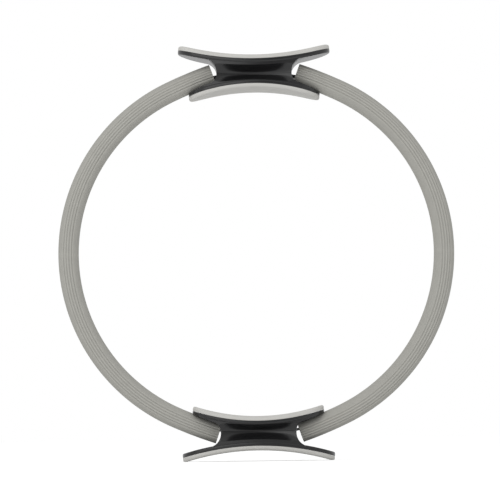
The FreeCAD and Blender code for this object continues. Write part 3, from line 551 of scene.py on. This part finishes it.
# The cosine of 1 to -1 becomes a depth of 0 to 1.
sunk = add(sleeve, "ShaderNodeMath", {0: wave.outputs[0], 1: -0.5, 2: 0.5}, operation="MULTIPLY_ADD")
sunk = add(sleeve, "ShaderNodeMath", {0: sunk.outputs[0], 1: given.outputs["Groove Sharpness"]},
           operation="POWER")
sunk = add(sleeve, "ShaderNodeMath", {0: sunk.outputs[0], 1: grooved.outputs[0]}, operation="MULTIPLY")
drop = add(sleeve, "ShaderNodeMath", {0: sunk.outputs[0], 1: given.outputs["Groove Depth"]},
           operation="MULTIPLY")
radius = add(sleeve, "ShaderNodeMath", {0: given.outputs["Sleeve Radius"], 1: drop.outputs[0]},
             operation="SUBTRACT")
outward = add(sleeve, "ShaderNodeVectorMath", {0: place}, operation="NORMALIZE")
ribbed = add(sleeve, "ShaderNodeVectorMath", {0: outward.outputs[0], "Scale": radius.outputs[0]},
             operation="SCALE")
outline = add(sleeve, "GeometryNodeSetPosition",
              {"Geometry": circle.outputs[0], "Position": ribbed.outputs[0]})
# Half a groove's painted shade is added where there are no grooves.
smooth = add(sleeve, "ShaderNodeMath", {0: grooved.outputs[0], 1: -0.5, 2: 0.5}, operation="MULTIPLY_ADD")
tone = add(sleeve, "ShaderNodeMath", {0: sunk.outputs[0], 1: smooth.outputs[0]}, operation="ADD")
marked = add(sleeve, "GeometryNodeStoreNamedAttribute",
             {"Geometry": outline.outputs[0], "Name": "groove", "Value": tone.outputs[0]},
             data_type="FLOAT", domain="POINT")
slot = add(sleeve, "GeometryNodeCurvePrimitiveQuadrilateral",
           {"Width": given.outputs["Slot Thickness"], "Height": given.outputs["Slot Width"]})
print("made the sleeve's section")

# %% [markdown]
# The section is pushed along a straight line twice: its outline makes the outer wall and its slot the
# inner one, which faces inward. Both ends are closed by a flat face between the outline and the slot, and
# the parts are welded into one closed skin.

# %% Straight sleeve
WELD_DISTANCE = 0.01 * MM

end = add(sleeve, "ShaderNodeCombineXYZ", {"Z": given.outputs["Length"]})
line = add(sleeve, "GeometryNodeCurvePrimitiveLine", {"End": end.outputs[0]})
stations = add(sleeve, "GeometryNodeResampleCurve",
               {"Curve": line.outputs[0], "Count": given.outputs["Steps"]})
outer_wall = add(sleeve, "GeometryNodeCurveToMesh",
                 {"Curve": stations.outputs[0], "Profile Curve": marked.outputs[0]})
inner_wall = add(sleeve, "GeometryNodeCurveToMesh",
                 {"Curve": stations.outputs[0], "Profile Curve": slot.outputs[0]})
inner_wall = add(sleeve, "GeometryNodeFlipFaces", {"Mesh": inner_wall.outputs[0]})
loops = add(sleeve, "GeometryNodeJoinGeometry")
for part in (outline, slot):
    sleeve.links.new(part.outputs[0], loops.inputs[0])
cap = add(sleeve, "GeometryNodeFillCurve", {"Curve": loops.outputs[0]})
far_cap = add(sleeve, "GeometryNodeTransform", {"Geometry": cap.outputs[0], "Translation": end.outputs[0]})
near_cap = add(sleeve, "GeometryNodeFlipFaces", {"Mesh": cap.outputs[0]})
whole = add(sleeve, "GeometryNodeJoinGeometry")
for part in (outer_wall, inner_wall, near_cap, far_cap):
    sleeve.links.new(part.outputs[0], whole.inputs[0])
welded = add(sleeve, "GeometryNodeMergeByDistance",
             {"Geometry": whole.outputs[0], "Distance": WELD_DISTANCE})
print("made the straight sleeve")

# %% [markdown]
# Where the sleeve tucks in behind the inner plate, the plate pushes it outward, so that its end stands a
# little proud of the band and is turned with it. The outside of the sleeve rises by a curve that grows
# with the square of the way to the end, and its section leans as far as that curve slopes. The slot stays
# on the steel, so the rise fades from the outside to the slot.

# %% Lifted end and bend
# As a share of the slot's width: the radius within which the sleeve keeps to the steel.
FIRM_SHARE = 0.53
SQUARE_SLOPE = 2.0

here = add(sleeve, "ShaderNodeSeparateXYZ", {0: add(sleeve, "GeometryNodeInputPosition").outputs[0]})
flat = add(sleeve, "ShaderNodeCombineXYZ", {"X": here.outputs["X"], "Y": here.outputs["Y"]})
depth = add(sleeve, "ShaderNodeVectorMath", {0: flat.outputs[0]}, operation="LENGTH")
valley = add(sleeve, "ShaderNodeMath",
             {0: given.outputs["Sleeve Radius"], 1: given.outputs["Groove Depth"]}, operation="SUBTRACT")
firm = add(sleeve, "ShaderNodeMath", {0: given.outputs["Slot Width"], 1: FIRM_SHARE}, operation="MULTIPLY")
soft = add(sleeve, "ShaderNodeMapRange", {"Value": depth.outputs["Value"], "From Min": firm.outputs[0],
                                          "From Max": valley.outputs[0]})
near = add(sleeve, "ShaderNodeMapRange", {"Value": here.outputs["Z"], "From Min": 0.0,
                                          "From Max": given.outputs["Lift Run"],
                                          "To Min": 1.0, "To Max": 0.0})
push = add(sleeve, "ShaderNodeMath", {0: near.outputs[0], 1: soft.outputs[0]}, operation="MULTIPLY")
push = add(sleeve, "ShaderNodeMath", {0: push.outputs[0], 1: given.outputs["End Lift"]},
           operation="MULTIPLY")
rise = add(sleeve, "ShaderNodeMath", {0: push.outputs[0], 1: near.outputs[0]}, operation="MULTIPLY")
slope = add(sleeve, "ShaderNodeMath", {0: push.outputs[0], 1: given.outputs["Lift Run"]},
            operation="DIVIDE")
slope = add(sleeve, "ShaderNodeMath", {0: slope.outputs[0], 1: SQUARE_SLOPE}, operation="MULTIPLY")
lean = add(sleeve, "ShaderNodeMath", {0: slope.outputs[0], 1: here.outputs["X"]}, operation="MULTIPLY")
offset = add(sleeve, "ShaderNodeCombineXYZ", {"X": rise.outputs[0], "Z": lean.outputs[0]})
lifted = add(sleeve, "GeometryNodeSetPosition",
             {"Geometry": welded.outputs[0], "Offset": offset.outputs[0]})
bend_and_paint(sleeve, given, lifted.outputs[0])

# %% [markdown]
# Soft sleeves don't sit quite evenly. They turn on their bands, on the right more than on the left, so that
# the grooves lie further out there. They also creep along their bands: one end stands nearer to its handle
# than the others, and one further from it.

# %% Sleeves
BAND_CLEARANCE = 0.25 * MM
GROOVE_TURN = {"left": math.radians(-3.0), "right": math.radians(-12.0)}
SLEEVE_CREEP = {"right_upper": -0.8 * MM, "left_upper": 0.0, "left_lower": 1.9 * MM, "right_lower": 0.0}
SLEEVE_SETTINGS = {
    "Sleeve Radius": SLEEVE_RADIUS, "Groove Depth": 0.65 * MM, "Groove Pitch": 2.75 * MM,
    "Groove Sharpness": 1.8, "Grooves": 4, "Points Round": 240, "Steps": 84,
    "End Lift": 3.2 * MM, "Lift Run": 44.0 * MM,
    "Slot Thickness": 2 * (LEAF_THICKNESS + LEAF_GAP / 2 + BAND_CLEARANCE),
    "Slot Width": leaf_width + 2 * BAND_CLEARANCE, "Finish": rubber_grey,
}

for name in HALVES:
    side = name.split("_")[0]
    settings = {**SLEEVE_SETTINGS, "Groove Turn": GROOVE_TURN[side]}
    reach = sleeve_reach + SLEEVE_CREEP[name] / bow_radius
    piece = half_piece("sleeve_" + name, name, sleeve, settings, reach)
    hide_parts(side + "_sleeve")
    print("made", piece.name, len(piece.data.polygons), "faces")

# %% [markdown]
# ## Spring leaves
# Two leaves of strip steel lie on each other in every bow. Strip has rounded edges from rolling, so the
# section is a rectangle with filleted corners, pushed along the same straight line and bent by the same
# group as the sleeve. The two holes at the clamped end are for the screws, and are cut while the leaf is
# still straight.

# %% Straight leaf
LEAF_INPUTS = {
    "Length": "Float", "Thickness": "Float", "Width": "Float", "Edge Round": "Float", "Outward": "Float",
    "Hole Radius": "Float", "Near Hole": "Float", "Far Hole": "Float", "Steps": "Int", "Finish": "Material",
}
EDGE_POINTS = 3

leaf, given = shape_tree("spring leaf", {**BEND_INPUTS, **LEAF_INPUTS})
section = add(leaf, "GeometryNodeCurvePrimitiveQuadrilateral",
              {"Width": given.outputs["Thickness"], "Height": given.outputs["Width"]})
section = add(leaf, "GeometryNodeFilletCurve",
              {"Curve": section.outputs[0], "Radius": given.outputs["Edge Round"], "Count": EDGE_POINTS},
              mode="POLY")
end = add(leaf, "ShaderNodeCombineXYZ", {"Z": given.outputs["Length"]})
line = add(leaf, "GeometryNodeCurvePrimitiveLine", {"End": end.outputs[0]})
stations = add(leaf, "GeometryNodeResampleCurve",
               {"Curve": line.outputs[0], "Count": given.outputs["Steps"]})
strip = add(leaf, "GeometryNodeCurveToMesh",
            {"Curve": stations.outputs[0], "Profile Curve": section.outputs[0], "Fill Caps": True})
print("made the straight leaf")

# %% Drilled and bent leaf
HOLE_POINTS = 32

drill = add(leaf, "GeometryNodeMeshCylinder",
            {"Vertices": HOLE_POINTS, "Radius": given.outputs["Hole Radius"],
             "Depth": given.outputs["Width"]})
drills = add(leaf, "GeometryNodeJoinGeometry")
for name in ("Near Hole", "Far Hole"):
    spot = add(leaf, "ShaderNodeCombineXYZ", {"Z": given.outputs[name]})
    placed = add(leaf, "GeometryNodeTransform",
                 {"Geometry": drill.outputs["Mesh"], "Translation": spot.outputs[0],
                  "Rotation": (0.0, QUARTER_TURN, 0.0)})
    leaf.links.new(placed.outputs[0], drills.inputs[0])
drilled = add(leaf, "GeometryNodeMeshBoolean", {"Mesh 1": strip.outputs[0], "Mesh 2": drills.outputs[0]},
              operation="DIFFERENCE", solver="EXACT")
shift = add(leaf, "ShaderNodeCombineXYZ", {"X": given.outputs["Outward"]})
layered = add(leaf, "GeometryNodeTransform",
              {"Geometry": drilled.outputs[0], "Translation": shift.outputs[0]})
bend_and_paint(leaf, given, layered.outputs[0])

# %% Leaves
# The holes lie over the screws, which stand upright at these distances from the ring's middle.
SCREW_SPOTS = {"Near Hole": 15.0 * MM, "Far Hole": 28.0 * MM}
LEAF_SETTINGS = {"Thickness": LEAF_THICKNESS, "Width": leaf_width, "Edge Round": 0.35 * MM, "Steps": 84,
                 "Hole Radius": 2.25 * MM, "Finish": steel_black}
LAYERS = {"outer_leaf": 1, "inner_leaf": -1}

for hole, sideways in SCREW_SPOTS.items():
    past_upright = math.asin((sideways - bow_offset) / bow_radius)
    LEAF_SETTINGS[hole] = bow_radius * (past_upright - LEAF_END)
for layer, way in LAYERS.items():
    for name in HALVES:
        settings = {**LEAF_SETTINGS, "Outward": way * (LEAF_THICKNESS + LEAF_GAP) / 2}
        piece = half_piece("%s_%s" % (layer, name), name, leaf, settings, leaf_reach)
        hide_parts("%s_%s" % (name.split("_")[0], layer))
        print("made", piece.name, len(piece.data.polygons), "faces")

# %% [markdown]
# ## Pads
# Each handle has a foam pad on its outer and its inner plate. A pad is an oval slab, bent to the plate,
# with a soft rounded edge and a slight crown. It is built from rings: one outline is drawn in plan and
# drawn in step by step, up the side, over the rounded edge and across the top. Rings keep the edge clean
# all round, which a grid over the plan wouldn't. The oval has a round end at each side, and two long arcs
# that touch both ends.

# %% Pad outline
PAD_ENDS = {"outer_pad": 21.2 * MM, "inner_pad": 23.2 * MM}
END_STEPS = 14
LONG_STEPS = 30


def pad_outline(half_length, half_depth, end_radius):
    """Points of an oval, from the middle of its right end, mirrored about both axes."""
    reach = half_length - end_radius
    long_radius = (reach ** 2 + half_depth ** 2 - end_radius ** 2) / (2 * (half_depth - end_radius))
    turn = math.atan2(long_radius - half_depth, reach)
    points = [(half_length, 0.0)]
    for step in range(1, END_STEPS + 1):
        angle = turn * step / END_STEPS
        points.append((reach + end_radius * math.cos(angle), end_radius * math.sin(angle)))
    for step in range(1, LONG_STEPS):
        angle = turn + (QUARTER_TURN - turn) * step / LONG_STEPS
        points.append((long_radius * math.cos(angle), half_depth - long_radius * (1 - math.sin(angle))))
    upper = points + [(0.0, half_depth)] + [(-x, y) for x, y in reversed(points)]
    return upper + [(x, -y) for x, y in reversed(upper[1:-1])]


print("a quarter of an outline has", END_STEPS + LONG_STEPS, "steps")

# %% Pad rings
PAD_RIM = 3.7 * MM
PAD_EDGE = 2.6 * MM
EDGE_STEPS = 7
TOP_STEPS = 12
# The last ring stays half a step short of the middle, where a bridge of faces closes it.
LAST_STEP = 0.5


def pad_rings(half_length, half_depth, end_radius):
    """Outlines with their heights over the seat, from the glued edge to the middle of the top."""
    side = PAD_RIM - PAD_EDGE
    rings = [(half_length, half_depth, end_radius, height) for height in (0.0, side / 2, side)]
    for step in range(1, EDGE_STEPS + 1):
        angle = QUARTER_TURN * step / EDGE_STEPS
        inset = PAD_EDGE * (1 - math.cos(angle))
        rings.append((half_length - inset, half_depth - inset, end_radius - inset,
                      side + PAD_EDGE * math.sin(angle)))
    length, depth, corner, height = rings[-1]
    for step in range(1, TOP_STEPS + 1):
        share = step / (TOP_STEPS + LAST_STEP)
        rings.append((length - depth * share, depth * (1 - share), corner * (1 - share), height))
    return rings


print("a pad is", round(PAD_RIM / MM, 1), "mm thick at its rim")

# %% Pad mesh
PAD_SEATS = {"outer_pad": 245.9 * MM, "inner_pad": 196.4 * MM}
PAD_CROWN = 0.22
PAD_OVERHANG = 0.5 * MM


def bridge(mesh, ring):
    """Closes a ring across its middle, each point with the one that mirrors it."""
    count = len(ring)
    for k in range(count // 2):
        face = [ring[k], ring[k + 1], ring[(count - k - 1) % count], ring[(count - k) % count]]
        mesh.faces.new(list(dict.fromkeys(face)))


def pad_mesh(node, kind, upward):
    """A pad bent to its seat. It is thickest along its middle line, and stops at its stand flats."""
    low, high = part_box(node)
    seat_height = low.z if upward > 0 else high.z
    seat_radius = PAD_SEATS[kind]
    stand = high.z - low.z
    mesh = bmesh.new()
    rings = []
    plan = [edge + PAD_OVERHANG for edge in (high.x, high.y, PAD_ENDS[kind])]
    for length, depth, corner, height in pad_rings(*plan):
        ring = []
        for x, y in pad_outline(length, depth, corner):
            crowned = height * (1 + PAD_CROWN * (1 - (y / high.y) ** 2))
            rise = seat_radius - math.sqrt((seat_radius - crowned) ** 2 - x * x)
            ring.append(mesh.verts.new((x, y, seat_height + upward * min(rise, stand))))
        rings.append(ring)
    for lower, upper in zip(rings, rings[1:]):
        for k in range(len(lower)):
            after = (k + 1) % len(lower)
            mesh.faces.new((lower[k], lower[after], upper[after], upper[k]))
    bridge(mesh, rings[0])
    bridge(mesh, rings[-1])
    bmesh.ops.recalc_face_normals(mesh, faces=mesh.faces)
    data = bpy.data.meshes.new(node + "_foam")
    mesh.to_mesh(data)
    mesh.free()
    return data


print("pads are bent to radii in mm:", [round(radius / MM, 1) for radius in PAD_SEATS.values()])

# %% Pads
for handle in ("upper", "lower"):
    for kind in PAD_SEATS:
        node = "%s_%s" % (handle, kind)
        upward = 1 if (handle == "upper") == (kind == "outer_pad") else -1
        data = pad_mesh(node, kind, upward)
        data.shade_smooth()
        data.set_sharp_from_angle(angle=SHARP_EDGE)
        data.materials.append(eva_grey)
        pad = bpy.data.objects.new(node + "_foam", data)
        scene.collection.objects.link(pad)
        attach(pad, handle + "_handle")
        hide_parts(node)
        print("made", pad.name, len(pad.data.polygons), "faces")

# %% [markdown]
# ## Handles and their hardware
# The shells and the screws are rigid and were measured, so the model's own pieces stay, and only get their
# finish.

# %% Finishes of the measured pieces
for node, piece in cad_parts.items():
    if node.endswith("_shell"):
        chosen = abs_black
    elif "_clamp_" in node:
        chosen = zinc
    else:
        continue
    piece.data.materials.clear()
    piece.data.materials.append(chosen)
    print("finished", node, len(piece.data.polygons), "faces")
